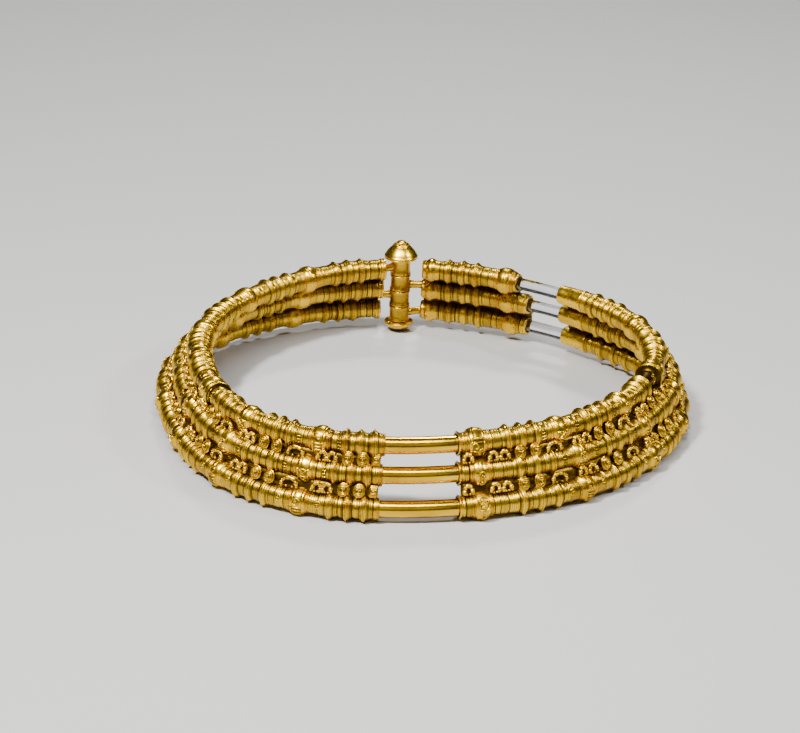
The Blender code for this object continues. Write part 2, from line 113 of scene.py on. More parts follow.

# Sharp beads with three wires on the crest. They stand taller near the front, where the place is the
# middle and reach in degrees. The painted shade on a flank is its place, width and depth.
BEAD_RISE = 1.0
FRONT_BEAD_RISE = 0.6
FRONT_BEADS = (268.0, 40.0)
BEAD_WIDTH = 1.15
BEAD_SHARPNESS = 1.25
BEAD_WIRE_SPACING = 0.62
BEAD_WIRE_RADIUS = 0.31
BEAD_CREST_REACH = 1.0
BEAD_CREST_FADE = 0.15
FLANK_PAINTED_SHADE = (1.55, 0.5, 0.9)
BEAD_END_ROOM = 1.2

# Domed swellings between two border wires, each a place, half-width and rise
SWELLING_RISE = 1.42
SWELLING_REACH = 3.0
SWELLING_EDGE = 0.1
DOME_BLUNTNESS = 0.6
TALL_DOME_BLUNTNESS = 0.3
BORDER_WIRES = ((3.2, 0.24, 0.62), (3.75, 0.22, 0.42))
BORDER_REACH = 1.0
BORDER_SHADE = 0.9
BORDER_UNSHADED_RISE = 0.4
FIRST_RIGHT_TOP_RISE = 0.35

# How much painted shade a place gets: 0 is plain gold and 1 is the painted brown shade of the grooves
PANEL_SHADE = 0.85
STEEP_SHADE = 0.5
STEEP_SLOPE = 1.2
BORE_SHADE = 1.2
CRACK_SHADE = 1.6
RIM_SHADE = 0.8
GROOVE_SHADE = 0.75
GROOVE_SHADE_REACH = 34.0
LOWER_GROOVE = -67.0
UPPER_GROOVE = 113.0

# Shallow dents all over the tubes: three waves, in radians a millimetre, and the third's share
DENT_DEPTH = 0.05
DENT_WAVES = (0.41, 0.23, 1.1)
SHORT_DENT_SHARE = 0.6

# Ends of the tubes, as distance from the end and radius
FRONT_COLLAR = ((0.0, 3.7), (0.25, 4.2), (0.5, 3.85), (0.75, 4.3), (1.0, 3.95), (1.3, 4.45),
                (1.6, 3.9))
HINGE_COLLAR = ((0.0, 4.2), (0.3, 4.5), (0.9, 4.5), (1.1, 4.1), (1.5, 4.5), (2.1, 4.4), (2.3, 3.8))
MOUTH = ((0.0, 4.35), (0.25, 4.6), (0.7, 4.35), (1.2, 4.0), (1.5, 3.9))
SHEET_COLLAR = ((0.0, 3.55), (0.4, 3.75), (5.0, 3.9), (10.8, 4.1), (11.2, 4.4), (11.7, 4.3),
                (12.2, 3.5))
BREAK_RING = ((0.0, 3.5), (0.3, 3.8), (0.8, 3.75), (1.0, 3.4), (1.3, 3.8))
HINGE_FLARE = ((0.0, 3.3), (0.5, 3.7), (1.2, 3.9), (1.5, 3.7), (2.6, 4.5), (3.4, 4.85), (4.2, 4.8),
               (5.4, 4.2), (7.0, 3.85))

# Bores in the ends of the tubes, as radius and depth
ROD_SEAT = (3.4, 1.8)
ROD_SOCKET = (3.8, 6.5)
CLEAR_SEAT = (2.7, 4.3)

# Cracks, as azimuth, bare length, side of the raised rim (1 is towards the hinge) and its length
LEFT_CRACKS = (((215.4, 1.1, 1, 2.4),), ((203.7, 0.9, 1, 4.0),), ())
RIGHT_CRACKS = (((351.0, 9.5, 1, 2.0),), ((358.4, 0.8, -1, 1.2),), ((357.0, 2.2, 1, 1.0),))
CORE_RADIUS = 3.0
RIM_RADIUS = 5.2
RIM_THICKNESS = 0.5
RIM_STEP = 0.16
RIM_RINGS = (0.35, 1.25)
RIM_RING_HALF = 0.35
RIM_RING_RISE = 0.25
BEAD_FREE_REACH = 4.0

# The rods that close the front, and the clear rods across the loss
ROD_RADIUS = 3.2
ROD_ENGAGEMENT = 5.0
CLEAR_ROD_RADIUS = 2.4
CLEAR_ROD_DEPTH = 4.0
ROD_ROUNDING = 0.8

# Filigree: how far its lines stand off the skin, the small ladders beside the swellings, and the
# disc by the hinge, as distance from the tube's end and angle
LINE_LIFT = 0.05
LADDER_PLACE = 7.3
LADDER_ROOM = 1.9
DISC_PLACE = (2.2, 132.0)

# Rows of figures in the grooves: what stands where between two swellings, from the front
LEFT_FIGURES = (("arch", 0.237), ("head", 0.474), ("head", 0.642), ("beast", 0.82), ("beast", 0.93))
RIGHT_FIGURES = (("beast", 0.17), ("beast", 0.295), ("head", 0.48), ("head", 0.66), ("arch", 0.885))
BEAST_HALF_LENGTH = 1.45
ARCH_HALF_LENGTH = 2.9
BEAST_FOOT = -0.75
BEAST_RISE = 2.1
HEAD_RIMS = ((1.85, 2.25, 0.0, 0.45), (1.4, 1.75, 0.8, 0.3))
END_STEPS = ((1.3, 1.9), (1.0, 1.4), (0.7, 0.9))
FIGURE_OUT = 3.4
FIGURE_HALF = 1.9
ROW_END_ROOM = 1.0

# Places in a row, in half-figures from its end
STEPPED_END_PLACE = 0.75
FIRST_BEAST_PLACE = 1.1
ROW_END_CLEARANCE = 1.6

# The strip behind a row, dark with painted shade
BACKING_OUT = 1.1
BACKING_THICKNESS = 0.8
BACKING_OVERLAP = 0.6
BACKING_SHADE = 0.92

# The hinge
KNUCKLE_RADIUS = 4.2
KNUCKLE_COUNT = 4
KNUCKLE_RIM = ((0.25, 0.0), (0.0, 0.2), (0.0, 0.6), (0.3, 0.8), (0.25, 1.1), (0.35, 1.3))
# Painted shade on the knuckle's rim steps, one value to each rim point
KNUCKLE_RIM_SHADE = (0.5, 0.0, 0.0, 0.7, 0.0, 0.5)
HINGE_RISE = 2.8
PIN_RADIUS = 1.6
PIN_PLAY = 0.4
GAP = 0.3
TOP_KNOB_RADIUS = 6.7
TOP_KNOB_HEIGHT = 7.2
BOTTOM_KNOB_RADIUS = 5.9
BOTTOM_KNOB_HEIGHT = 4.2
LUG_WIDTH = 3.0
LUG_HEIGHT = 3.6
LUG_IN_TUBE = 2.1
LUG_IN_KNUCKLE = 0.9
LUG_WAIST = ((0.0, 1.0), (0.25, 0.86), (0.5, 0.82), (0.75, 0.9), (1.0, 1.0))

# Outlines of the knobs from the pin outwards, as shares of their radius and height
BOTTOM_KNOB = ((0.27, 1.0), (0.37, 0.94), (0.52, 0.8), (0.80, 0.48), (0.95, 0.26), (1.0, 0.16),
               (1.0, 0.05), (0.96, 0.0))
TOP_KNOB_BRIM = ((0.94, 0.0), (0.97, 0.01), (1.0, 0.03), (1.0, 0.06), (0.97, 0.075),
                 (0.965, 0.14), (1.0, 0.155), (1.0, 0.185), (0.97, 0.2))
TOP_KNOB_DOME = ((0.93, 0.28), (0.86, 0.38), (0.77, 0.48), (0.68, 0.57), (0.59, 0.65))
TOP_KNOB_RING = ((0.53, 0.70), (0.50, 0.71), (0.50, 0.78), (0.47, 0.80), (0.41, 0.805),
                 (0.39, 0.79), (0.38, 0.71), (0.30, 0.71))
TOP_KNOB_BUTTON = ((0.28, 0.72), (0.28, 0.80), (0.30, 0.86), (0.28, 0.93), (0.21, 0.975),
                   (0.10, 0.995), (0.03, 1.0))
KNOB_GRAINS = 56
KNOB_GRAIN_PLACE = (0.965, 0.11)
KNOB_GRAIN_RADIUS = 0.3
KNOB_SHADE_GAIN = 2.5

# How finely things are drawn
FINE_STEP = 0.08
FINE_REACH = 1.2
TUBE_SIDES = 28
ROUND_SIDES = 48
ROD_STEPS = 60
ROD_SIDES = 36
BACKING_STEPS = 140
BACKING_SIDES = 10

# The camera, read from the photo
CAMERA_DISTANCE = 1400.0
CAMERA_ELEVATION = 22.13
CAMERA_SIDE = 30.7
CAMERA_PITCH = 22.35
CAMERA_YAW = -1.72
CAMERA_ROLL = 2.2
CAMERA_LENS = 165.6

UP = Vector((0.0, 0.0, 1.0))

# Colours and finish; where there are two values, the second is for the polished rods
PALE_GOLD = (1.0, 0.63, 0.03, 1.0)
DEEP_GOLD = (0.62, 0.34, 0.01, 1.0)
# The dark brown of the painted shade
PAINTED_SHADE_BROWN = (0.05, 0.028, 0.004, 1.0)
CLEAR = (0.96, 0.98, 0.99, 1.0)
FLOOR_GREY = (0.46, 0.455, 0.445, 1.0)
DAYLIGHT = (0.9, 0.92, 1.0, 1.0)
BROAD_NOISE = 60.0
FINE_NOISE = 900.0
LEAST_ROUGHNESS = (0.20, 0.17)
MOST_ROUGHNESS = (0.36, 0.26)
GROOVE_ROUGHNESS = 0.08
BUMP_STRENGTH = (0.3, 0.05)

# Area lights: name, place in metres, width and depth in metres, and power in watts. The key, right
# and back ones are small lamps, and the world is nearly dark.
LIGHTS = (
    ("key", (-0.36, -0.40, 0.85), 0.12, 0.12, 18.0),
    ("overhead", (0.0, -0.42, 0.95), 0.55, 0.22, 8.0),
    ("front", (0.0, -1.05, 0.62), 1.0, 0.6, 0.9),
    ("right", (0.60, -0.10, 0.60), 0.10, 0.10, 3.5),
    ("back", (0.05, 0.62, 0.70), 0.12, 0.12, 4.5),
)
WORLD_STRENGTH = 0.02
FLOOR_SIZE = 6.0


def nearness(azimuth, bend):
    """How near an azimuth is to the middle of a bend: 1 there, and 0 far from it."""
    middle, reach = bend
    offset = (azimuth - middle + 180.0) % 360.0 - 180.0
    return np.exp(-(offset / reach) ** 2)


def plan_radius(azimuth, ring):
    """Distance of a ring's centre line from the middle of the plan."""
    radius = TOP_RING_RADIUS + RING_STEPS[ring]
    radius = radius + LEFT_BACK_SPREAD[ring] * nearness(azimuth, LEFT_BACK_BEND)
    radius = radius + RIGHT_SPREAD[ring] * nearness(azimuth, RIGHT_BEND)
    for lobes, size, direction in PLAN_BENDS:
        radius = radius + size * np.cos(np.radians(lobes * (azimuth - direction)))
    return radius


def ring_point(azimuth, ring):
    """Points of a ring's centre line."""
    azimuth = np.asarray(azimuth, float)
    radius = plan_radius(azimuth, ring)
    angle = np.radians(azimuth)
    height = RING_HEIGHTS[ring] + LEFT_BACK_RISE[ring] * nearness(azimuth, LEFT_BACK_BEND)
    return np.stack([radius * np.cos(angle), radius * np.sin(angle), height], axis=-1)


def outward(azimuth, ring):
    """Level unit vectors square to a ring, away from the neck."""
    azimuth = np.asarray(azimuth, float)
    way = ring_point(azimuth + 0.3, ring) - ring_point(azimuth - 0.3, ring)
    out = np.stack([way[..., 1], -way[..., 0], 0.0 * way[..., 0]], axis=-1)
    return out / np.linalg.norm(out, axis=-1, keepdims=True)


def degrees_for(length, azimuth, ring):
    """How many degrees of a ring a length takes at an azimuth."""
    return math.degrees(length / plan_radius(azimuth, ring))


joint = frame["joints"][0]
STANCE = UP.rotation_difference(Vector(joint["axis"])).to_matrix()
HINGE_FOOT = ring_point(HINGE_AZIMUTH, MIDDLE) * (1.0, 1.0, 0.0)
HINGE_MIDDLE = Vector(HINGE_FOOT) + UP * RING_HEIGHTS[TOP] / 2.0
OFFSET = Vector(joint["pos_m"]) - STANCE @ (HINGE_MIDDLE * MM)


def to_world(points):
    """Collar millimetres to the frame's metres; what would go below the floor lies on it."""
    turned = np.asarray(points, float) @ (np.array(STANCE).T * MM) + np.array(OFFSET)
    turned[:, 2] = np.maximum(turned[:, 2], 0.0)
    return turned


def ridge(offset, half_width):
    """A half-round ridge, from 0 at its edges to 1."""
    return np.sqrt(np.clip(1.0 - (offset / half_width) ** 2, 0.0, 1.0))


def bell(offset, width):
    """A soft bump, from 0 to 1."""
    return np.exp(-(offset / width) ** 2)


class Shape:
    """Vertices, faces and a value per vertex of painted shade and tone, gathered before they become a
    mesh.
    """

    def __init__(self):
        self.points = []
        self.faces = []
        self.painted_shade_and_tone = []
        self.count = 0

    def add(self, points, faces, painted_shade_and_tone=0.0):
        """Add points with their faces; painted_shade_and_tone is one value, or one a point."""
        points = np.asarray(points, float).reshape(-1, 3)
        self.points.append(points)
        self.faces += [[self.count + index for index in face] for face in faces]
        self.painted_shade_and_tone.append(np.broadcast_to(np.asarray(painted_shade_and_tone, float).reshape(-1), (len(points),)))
        self.count += len(points)

    def add_grid(self, grid, painted_shade_and_tone=0.0, closed=False):
        """Rows of points joined into a tube, capped at its ends or closed into a loop."""
        rows, sides = grid.shape[:2]
        index = np.arange(rows * sides).reshape(rows, sides)
        after = np.roll(index, -1, axis=1)
        quads = np.stack([index, after, np.roll(after, -1, axis=0), np.roll(index, -1, axis=0)],
                         axis=-1)
        if closed:
            faces = quads.reshape(-1, 4).tolist()
        else:
            faces = quads[:-1].reshape(-1, 4).tolist()
            faces += [index[0][::-1].tolist(), index[-1].tolist()]
        self.add(grid.reshape(-1, 3), faces, painted_shade_and_tone)

    def make(self, name, material, body, slot, node):
        """The gathered shape as an object that rides on a body and stands for a node."""
        mesh = bpy.data.meshes.new(name)
        mesh.from_pydata(to_world(np.concatenate(self.points)).tolist(), [], self.faces)
        turner = bmesh.new()
        turner.from_mesh(mesh)
        bmesh.ops.recalc_face_normals(turner, faces=turner.faces)
        turner.to_mesh(mesh)
        turner.free()
        layer = mesh.attributes.new("painted_shade_and_tone", "FLOAT", "POINT")
        layer.data.foreach_set("value", np.concatenate(self.painted_shade_and_tone).astype(np.float32))
        mesh.polygons.foreach_set("use_smooth", [True] * len(mesh.polygons))
        mesh.materials.append(material)
        item = bpy.data.objects.new(name, mesh)
        bpy.context.scene.collection.objects.link(item)
        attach(item, body)
        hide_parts(node)


def add_wire(shape, points, radius, sides=6, closed=False, painted_shade_and_tone=0.0):
    """A thin round wire along points."""
    points = np.asarray(points, float)
    if closed:
        ways = np.roll(points, -1, axis=0) - np.roll(points, 1, axis=0)
    else:
        ways = np.gradient(points, axis=0)
    ways /= np.linalg.norm(ways, axis=1, keepdims=True)
    plane = np.linalg.svd(points - points.mean(axis=0))[2][2]
    first = np.cross(ways, plane)
    first /= np.linalg.norm(first, axis=1, keepdims=True)
    second = np.cross(ways, first)
    angle = np.linspace(0.0, 2.0 * math.pi, sides, endpoint=False)
    radius = np.broadcast_to(np.asarray(radius, float), (len(points),))
    ring = first[:, None, :] * np.cos(angle)[None, :, None]
    ring = ring + second[:, None, :] * np.sin(angle)[None, :, None]
    shape.add_grid(points[:, None, :] + radius[:, None, None] * ring, painted_shade_and_tone, closed)


def add_ball(shape, centre, axes, rows=5, sides=8, painted_shade_and_tone=0.0):
    """A ball or egg; axes are its three half-lengths as vectors."""
    lift = (np.arange(rows) + 0.5) / rows * math.pi
    angle = np.linspace(0.0, 2.0 * math.pi, sides, endpoint=False)
    level = np.sin(lift)[:, None]
    unit = np.stack([level * np.cos(angle), level * np.sin(angle),
                     np.repeat(np.cos(lift)[:, None], sides, axis=1)], axis=-1)
    shape.add_grid(np.asarray(centre) + unit @ np.asarray(axes, float), painted_shade_and_tone)


def add_grain(shape, centre, radius):
    """One tiny grain of gold."""
    add_ball(shape, centre, np.eye(3) * radius, rows=3, sides=6)


class Tube:
    """A worked length of one ring: beads, swellings and wound wires, walked from start to end."""

    def __init__(self, ring, start, end, stops, seed):
        self.ring = ring
        self.start = start
        self.sign = 1.0 if end > start else -1.0
        self.turns = np.linspace(0.0, abs(end - start), 1200)
        points = ring_point(start + self.sign * self.turns, ring)
        steps = np.linalg.norm(np.diff(points, axis=0), axis=1)
        self.lengths = np.concatenate([[0.0], np.cumsum(steps)])
        self.length = float(self.lengths[-1])
        self.seed = seed
        self.swellings = [self.distance(stop) for stop in stops[1:-1]]
        self.beads = self.bead_places(stops)
        self.panels = []
        self.shape = Shape()

    def distance(self, azimuth):
        """Distance of an azimuth from the start."""
        return float(np.interp(self.sign * (azimuth - self.start), self.turns, self.lengths,
                               left=-10.0, right=self.length + 10.0))

    def azimuth(self, distance):
        """Azimuth at a distance from the start."""
        return self.start + self.sign * np.interp(distance, self.lengths, self.turns)

    def bead_places(self, stops):
        """Distances of the sharp beads, three between each two swellings."""
        places = []
        for first, second in zip(stops, stops[1:]):
            for step in (-1, 0, 1):
                share = BEAD_MIDDLE_SHARE + step * BEAD_SPACING_SHARE
                places.append(self.distance(first + share * (second - first)))
        return [place for place in places if BEAD_END_ROOM < place < self.length - BEAD_END_ROOM]

    def stations(self):
        """Distances of the rows of points, closer together where the work is fine."""
        edges = [place + side * (SWELLING_REACH + 0.5)
                 for place in self.swellings for side in (-1.0, 1.0)]
        fine = np.array(self.beads + edges + [0.0, self.length])
        distance = np.arange(0.0, self.length, FINE_STEP)
        near = np.min(np.abs(distance[:, None] - fine[None, :]), axis=1) < FINE_REACH
        keep = near | (np.arange(len(distance)) % 2 == 0)
        return np.append(distance[keep], self.length)

    def wind(self, distance):
        """Wind fine wires in uneven bands: their height, and the painted shade and tone of each
        place.
        """
        uneven = np.abs(np.sin(BAND_WIDTH_PHASE * np.arange(BAND_COUNT) + self.seed))
        widths = BAND_WIDTH * (BAND_SPREAD + BAND_SPREAD * uneven)
        edges = np.concatenate([[0.0], np.cumsum(widths)])
        band = np.searchsorted(edges, distance, side="right") - 1
        beside = np.minimum(distance - edges[band], edges[band + 1] - distance)
        groove = ridge(beside, BAND_GROOVE)
        drift = WIRE_DRIFT * np.sin(DRIFT_PHASE * distance + self.seed)
        turn = (distance - edges[band] + drift) / WIRE_PITCH
        number = np.floor(turn)
        across = 2.0 * (turn - number) - 1.0
        rise = ridge(across, 1.0)
        uneven = 0.8 + 0.4 * np.abs(np.sin(number * WIRE_PHASE + band * WIRE_BAND_PHASE))
        step = BAND_STEP * np.sin(BAND_STEP_PHASE * band + self.seed)
        self.skin = TUBE_RADIUS + step - BAND_DEPTH * groove
        # An uneven darker tone of some whole bands, with painted shade in the valleys between wires
        # and in the band grooves
        dull = BAND_SHADE * np.abs(np.sin(BAND_SHADE_PHASE * band + self.seed)) ** 2
        shade = np.maximum(WIRE_SHADE * across ** 2, dull)
        return (1.0 - groove) * WIRE_RISE * rise * uneven, np.maximum(shade, groove)

    def work(self, first_extra=0.0):
        """Shape the skin along the tube; first_extra is how much higher its first swelling stands."""
        self.stops = distance = self.stations()
        wires, painted_shade_and_tone = self.wind(distance)
        flank, flank_width, flank_shade = FLANK_PAINTED_SHADE
        for place in self.beads:
            offset = distance - place
            rise = BEAD_RISE + FRONT_BEAD_RISE * nearness(self.azimuth(place), FRONT_BEADS)
            self.skin = self.skin + rise * np.exp(-(np.abs(offset) / BEAD_WIDTH) ** BEAD_SHARPNESS)
            crest = np.max([ridge(offset - step * BEAD_WIRE_SPACING, BEAD_WIRE_RADIUS)
                            for step in (-1, 0, 1)], axis=0)
            near = np.clip((BEAD_CREST_REACH - np.abs(offset)) / BEAD_CREST_FADE, 0.0, 1.0)
            wires = wires * (1.0 - near) + near * BEAD_WIRE_RADIUS * crest
            # Painted shade in the valleys between the crest wires and on both flanks of the bead
            painted_shade_and_tone = painted_shade_and_tone * (1.0 - near) + near * (1.0 - crest)
            painted_shade_and_tone = np.maximum(painted_shade_and_tone, flank_shade * bell(np.abs(offset) - flank, flank_width))
        for number, place in enumerate(self.swellings):
            offset = np.abs(distance - place)
            extra = 0.0 if number else first_extra
            height = SWELLING_RISE + extra
            bluntness = TALL_DOME_BLUNTNESS if extra else DOME_BLUNTNESS
            dome = height * np.clip(1.0 - (offset / SWELLING_REACH) ** 2, 0.0, 1.0) ** bluntness
            inside = np.clip((SWELLING_REACH + SWELLING_EDGE - offset) / SWELLING_EDGE, 0.0, 1.0)
            border = np.zeros_like(offset)
            for centre, half_width, rise in BORDER_WIRES:
                border = np.maximum(border, rise * ridge(offset - centre, half_width))
            beside = offset > SWELLING_REACH - SWELLING_EDGE
            beside &= offset < SWELLING_REACH + BORDER_REACH
            self.skin = self.skin + dome
            wires = np.where(beside, border, wires * (1.0 - inside))
            # Painted shade beside the border wires, lightest on their crests
            unshaded = np.clip(border / BORDER_UNSHADED_RISE, 0.0, 1.0)
            painted_shade_and_tone = np.where(beside, BORDER_SHADE * (1.0 - unshaded), painted_shade_and_tone * (1.0 - inside))
        self.wires = wires
        self.painted_shade_and_tone = painted_shade_and_tone

    def clear_beads(self, cracks):
        """Leave out the beads beside the cracks."""
        places = [self.distance(crack[0]) for crack in cracks]
        self.beads = [bead for bead in self.beads
                      if all(abs(bead - place) > BEAD_FREE_REACH for place in places)]

    def shape_end(self, profile, at_start):
        """Give an end its own outline, without wires."""
        near = self.stops if at_start else self.length - self.stops
        places, sizes = zip(*profile)
        inside = near <= places[-1]
        self.skin = np.where(inside, np.interp(near, places, sizes), self.skin)
        self.wires = np.where(inside, 0.0, self.wires)
        # Painted shade on the steep steps of the end's outline
        slope = np.gradient(np.interp(near, places, sizes), self.stops)
        self.painted_shade_and_tone = np.where(inside, STEEP_SHADE * (np.abs(slope) > STEEP_SLOPE), self.painted_shade_and_tone)

    def crack(self, azimuth, bare, side, rim):
        """Open the skin: a bare dark core with a raised rim on one side, towards higher distance
        where side is 1."""
        offset = side * (self.stops - self.distance(azimuth))
        core = (offset < 0.0) & (offset > -bare)
        lip = (offset >= 0.0) & (offset < rim)
        self.skin = np.where(lip, np.maximum(self.skin, RIM_RADIUS), self.skin)
        self.skin = np.where(core, CORE_RADIUS, self.skin)
        self.skin = np.where(core & (offset > -RIM_STEP), RIM_RADIUS - RIM_THICKNESS, self.skin)
        rings = np.max([ridge(offset - place, RIM_RING_HALF) for place in RIM_RINGS], axis=0)
        self.wires = np.where(core, 0.0, np.where(lip, RIM_RING_RISE * rings, self.wires))
        # Painted shade in the valleys of the rim, and dark painted shade on the sunk bare core
        shade = np.where(lip, RIM_SHADE * (1.0 - rings), self.painted_shade_and_tone)
        self.painted_shade_and_tone = np.where(core, CRACK_SHADE, shade)

    def section(self, distance, radius):
        """Rows of points round the ring's centre line."""
        azimuth = self.azimuth(distance)
        centre = ring_point(azimuth, self.ring)
        side = outward(azimuth, self.ring)
        angle = np.linspace(0.0, 2.0 * math.pi, radius.shape[1], endpoint=False)
        level = side[:, None, :] * np.cos(angle)[None, :, None]
        rise = np.array([0.0, 0.0, 1.0]) * np.sin(angle)[None, :, None]
        return centre[:, None, :] + radius[:, :, None] * (level + rise)

    def skin_up(self, start_bore, end_bore=None):
        """Make the tube's surface, with a blind bore in an end."""
        angle = np.linspace(0.0, 2.0 * math.pi, TUBE_SIDES, endpoint=False)
        along = self.stops[:, None]
        first, second, third = DENT_WAVES
        dents = np.sin(first * along + 2.0 * angle + self.seed) * np.sin(second * along - angle)
        short = np.sin(third * along + 3.0 * angle + 2.0 * self.seed)
        dents = dents + SHORT_DENT_SHARE * short
        radius = (self.skin + self.wires)[:, None] + DENT_DEPTH * dents
        # Painted shade on the sides that face the next ring
        painted_shade_and_tone = 1.0 - (1.0 - self.painted_shade_and_tone[:, None]) * (1.0 - groove_shade(self.ring, angle))
        # Painted shade on the ground between the filigree lines
        for place, half_length, low, high in self.panels:
            level = (np.degrees(angle) + 180.0) % 360.0 - 180.0
            inside = (np.abs(along - place) < half_length) & (level > low) & (level < high)
            painted_shade_and_tone = np.where(inside, np.maximum(painted_shade_and_tone, PANEL_SHADE), painted_shade_and_tone)
        rows = [self.section(self.stops, radius)]
        shades = [np.maximum(painted_shade_and_tone, self.painted_shade_and_tone[:, None])]
        for bore, mouth, way in ((start_bore, 0.0, 1.0), (end_bore, self.length, -1.0)):
            if not bore:
                continue
            size, depth = bore
            inner = np.array([mouth + way * depth, mouth])
            bored = self.section(inner, np.full((2, TUBE_SIDES), size))
            # Painted shade inside the bores
            shade = np.full((2, TUBE_SIDES), BORE_SHADE)
            if way > 0.0:
                rows.insert(0, bored)
                shades.insert(0, shade)
            else:
                rows.append(bored[::-1])
                shades.append(shade)
        self.shape.add_grid(np.concatenate(rows), np.concatenate(shades))

    def at(self, distance, angle, lift=0.0):
        """A point on the skin: angle 0 faces out of the ring and 90 faces up."""
        azimuth = self.azimuth(distance)
        turn = math.radians(angle)
        radius = np.interp(distance, self.stops, self.skin) + lift
        way = outward(azimuth, self.ring) * math.cos(turn) + np.array([0.0, 0.0, math.sin(turn)])
        return ring_point(azimuth, self.ring) + radius * way


def groove_shade(ring, angle):
    """Painted shade on the sides that face the next ring."""
    faces = []
    if ring != BOTTOM:
        faces.append(LOWER_GROOVE)
    if ring != TOP:
        faces.append(UPPER_GROOVE)
    turn = np.degrees(angle)
    side_shades = [bell((turn - face + 180.0) % 360.0 - 180.0, GROOVE_SHADE_REACH) for face in faces]
    return GROOVE_SHADE * np.max(side_shades, axis=0)


def add_bars(tube, place, low, high, count, half_length, thick=0.26, frame_lines=True):
    """Short bars along the ring, one above another, between two upright lines."""
    for angle in np.linspace(low, high, count):
        path = [tube.at(place + step, angle, LINE_LIFT)
                for step in np.linspace(-half_length, half_length, 5)]
        add_wire(tube.shape, path, thick)
    if frame_lines:
        for side in (-1.0, 1.0):
            path = [tube.at(place + side * (half_length + 0.25), angle, LINE_LIFT)
                    for angle in np.linspace(low - 3.0, high + 3.0, 7)]
            add_wire(tube.shape, path, thick + 0.03)
        tube.panels.append((place, half_length + 0.2, low - 3.0, high + 3.0))


def add_ladder(tube, place):
    """A small ladder of four bars on the plain tube."""
    add_bars(tube, place, -12.0, 40.0, 4, 0.75, 0.24, False)
    tube.panels.append((place, 1.0, -24.0, 52.0))
    for side in (-1.0, 1.0):
        path = [tube.at(place + side * 1.05, angle, 0.12) for angle in np.linspace(-22.0, 50.0, 7)]
        add_wire(tube.shape, path, 0.16, 5)


def add_oval(tube, place, angle, half_length, half_height, thick=0.24, grains=0):
    """An oval line on the skin with grains inside; half_height is in degrees round the tube."""
    tube.panels.append((place, 0.85 * half_length, angle - 0.8 * half_height,
                        angle + 0.8 * half_height))
    turn = np.linspace(0.0, 2.0 * math.pi, 20, endpoint=False)
    path = [tube.at(place + half_length * math.cos(t), angle + half_height * math.sin(t), 0.1)
            for t in turn]
    add_wire(tube.shape, path, thick, closed=True)
    for t in np.linspace(0.0, 2.0 * math.pi, grains, endpoint=False):
        add_grain(tube.shape, tube.at(place + 0.5 * half_length * math.cos(t),
                                      angle + 0.55 * half_height * math.sin(t), 0.1), 0.24)
    add_grain(tube.shape, tube.at(place, angle, 0.15), 0.34)


def add_lattice(tube, place, low, high, half_length):
    """Crossed lines in a frame."""
    for side in (-1.0, 1.0):
        for step in (0.0, 0.5):
            path = [tube.at(place + side * half_length * (2.0 * t - 1.0),
                            low + (high - low) * (step + 0.5 * t), 0.08)
                    for t in np.linspace(0.0, 1.0, 6)]
            add_wire(tube.shape, path, 0.24)
    add_bars(tube, place, low, high, 3, half_length, 0.22)


def add_scroll(tube, place, angle, side):
    """A curled line on the shoulder of a swelling."""
    turn = np.linspace(0.0, 1.6 * math.pi, 14)
    size = np.linspace(1.5, 0.35, 14)
    path = [tube.at(place + side * s * math.cos(t), angle + 13.0 * s * math.sin(t), 0.08)
            for t, s in zip(turn, size)]
    add_wire(tube.shape, path, 0.26)


def dress(tube, seed):
    """Filigree on the swellings, and ladders beside them."""
    for number, place in enumerate(tube.swellings):
        kind = (number + seed) % 3
        if kind == 0:
            add_bars(tube, place, -48.0, 8.0, 5, 1.5)
            add_scroll(tube, place, 30.0, 1.0)
        elif kind == 1:
            add_lattice(tube, place, -48.0, 14.0, 1.6)
        else:
            add_bars(tube, place, -52.0, -8.0, 4, 1.7)
            add_oval(tube, place, 16.0, 1.4, 14.0, 0.24, 5)
        for side in (-1.0, 1.0):
            beside = place + side * LADDER_PLACE
            room = min([abs(beside - bead) for bead in tube.beads] + [beside, tube.length - beside])
            if room > LADDER_ROOM:
                if tube.ring == BOTTOM:
                    add_oval(tube, beside, 16.0, 0.95, 19.0, 0.2, 4)
                else:
                    add_ladder(tube, beside)


def dress_first_right(tube):
    """The larger ornament on the swelling beside the right half's mouth."""
    place = tube.swellings[0]
    if tube.ring == TOP:
        add_bars(tube, place, 38.0, 78.0, 2, 1.7, 0.3)
        add_scroll(tube, place - 0.9, 4.0, -1.0)
        add_scroll(tube, place + 0.9, -20.0, 1.0)
        add_bars(tube, place, -52.0, 24.0, 3, 2.0, 0.2)
    elif tube.ring == MIDDLE:
        add_oval(tube, place, -6.0, 1.3, 30.0, 0.24, 7)
        add_oval(tube, place, -6.0, 0.7, 15.0, 0.14, 0)
    else:
        add_oval(tube, place, 30.0, 2.3, 30.0, 0.42, 8)
        add_lattice(tube, place, 12.0, 48.0, 1.3)
        add_oval(tube, place, -28.0, 0.75, 14.0, 0.2, 0)


def add_disc(tube, place, angle):
    """A small flat disc with a rim, standing on the skin."""
    turn = np.linspace(0.0, 2.0 * math.pi, 16, endpoint=False)
    centre = tube.at(place, angle, 0.9)
    out = tube.at(place, angle, 1.9) - centre
    along = tube.at(place + 0.5, angle, 0.5) - tube.at(place - 0.5, angle, 0.5)
    along /= np.linalg.norm(along)
    side = np.cross(out, along)
    rows = [[centre + out * rise + size * (along * math.cos(t) + side * math.sin(t)) for t in turn]
            for size, rise in ((1.5, -1.4), (1.75, 0.3), (1.75, 0.6), (1.5, 0.7), (1.3, 0.35),
                               (0.8, 0.35), (0.6, 0.65), (0.1, 0.75))]
    # Painted shade on the disc's sunk steps
    shade = np.repeat([1.0, 0.5, 0.0, 0.0, 0.9, 0.9, 0.0, 0.0], 16)
    tube.shape.add_grid(np.array(rows), shade)


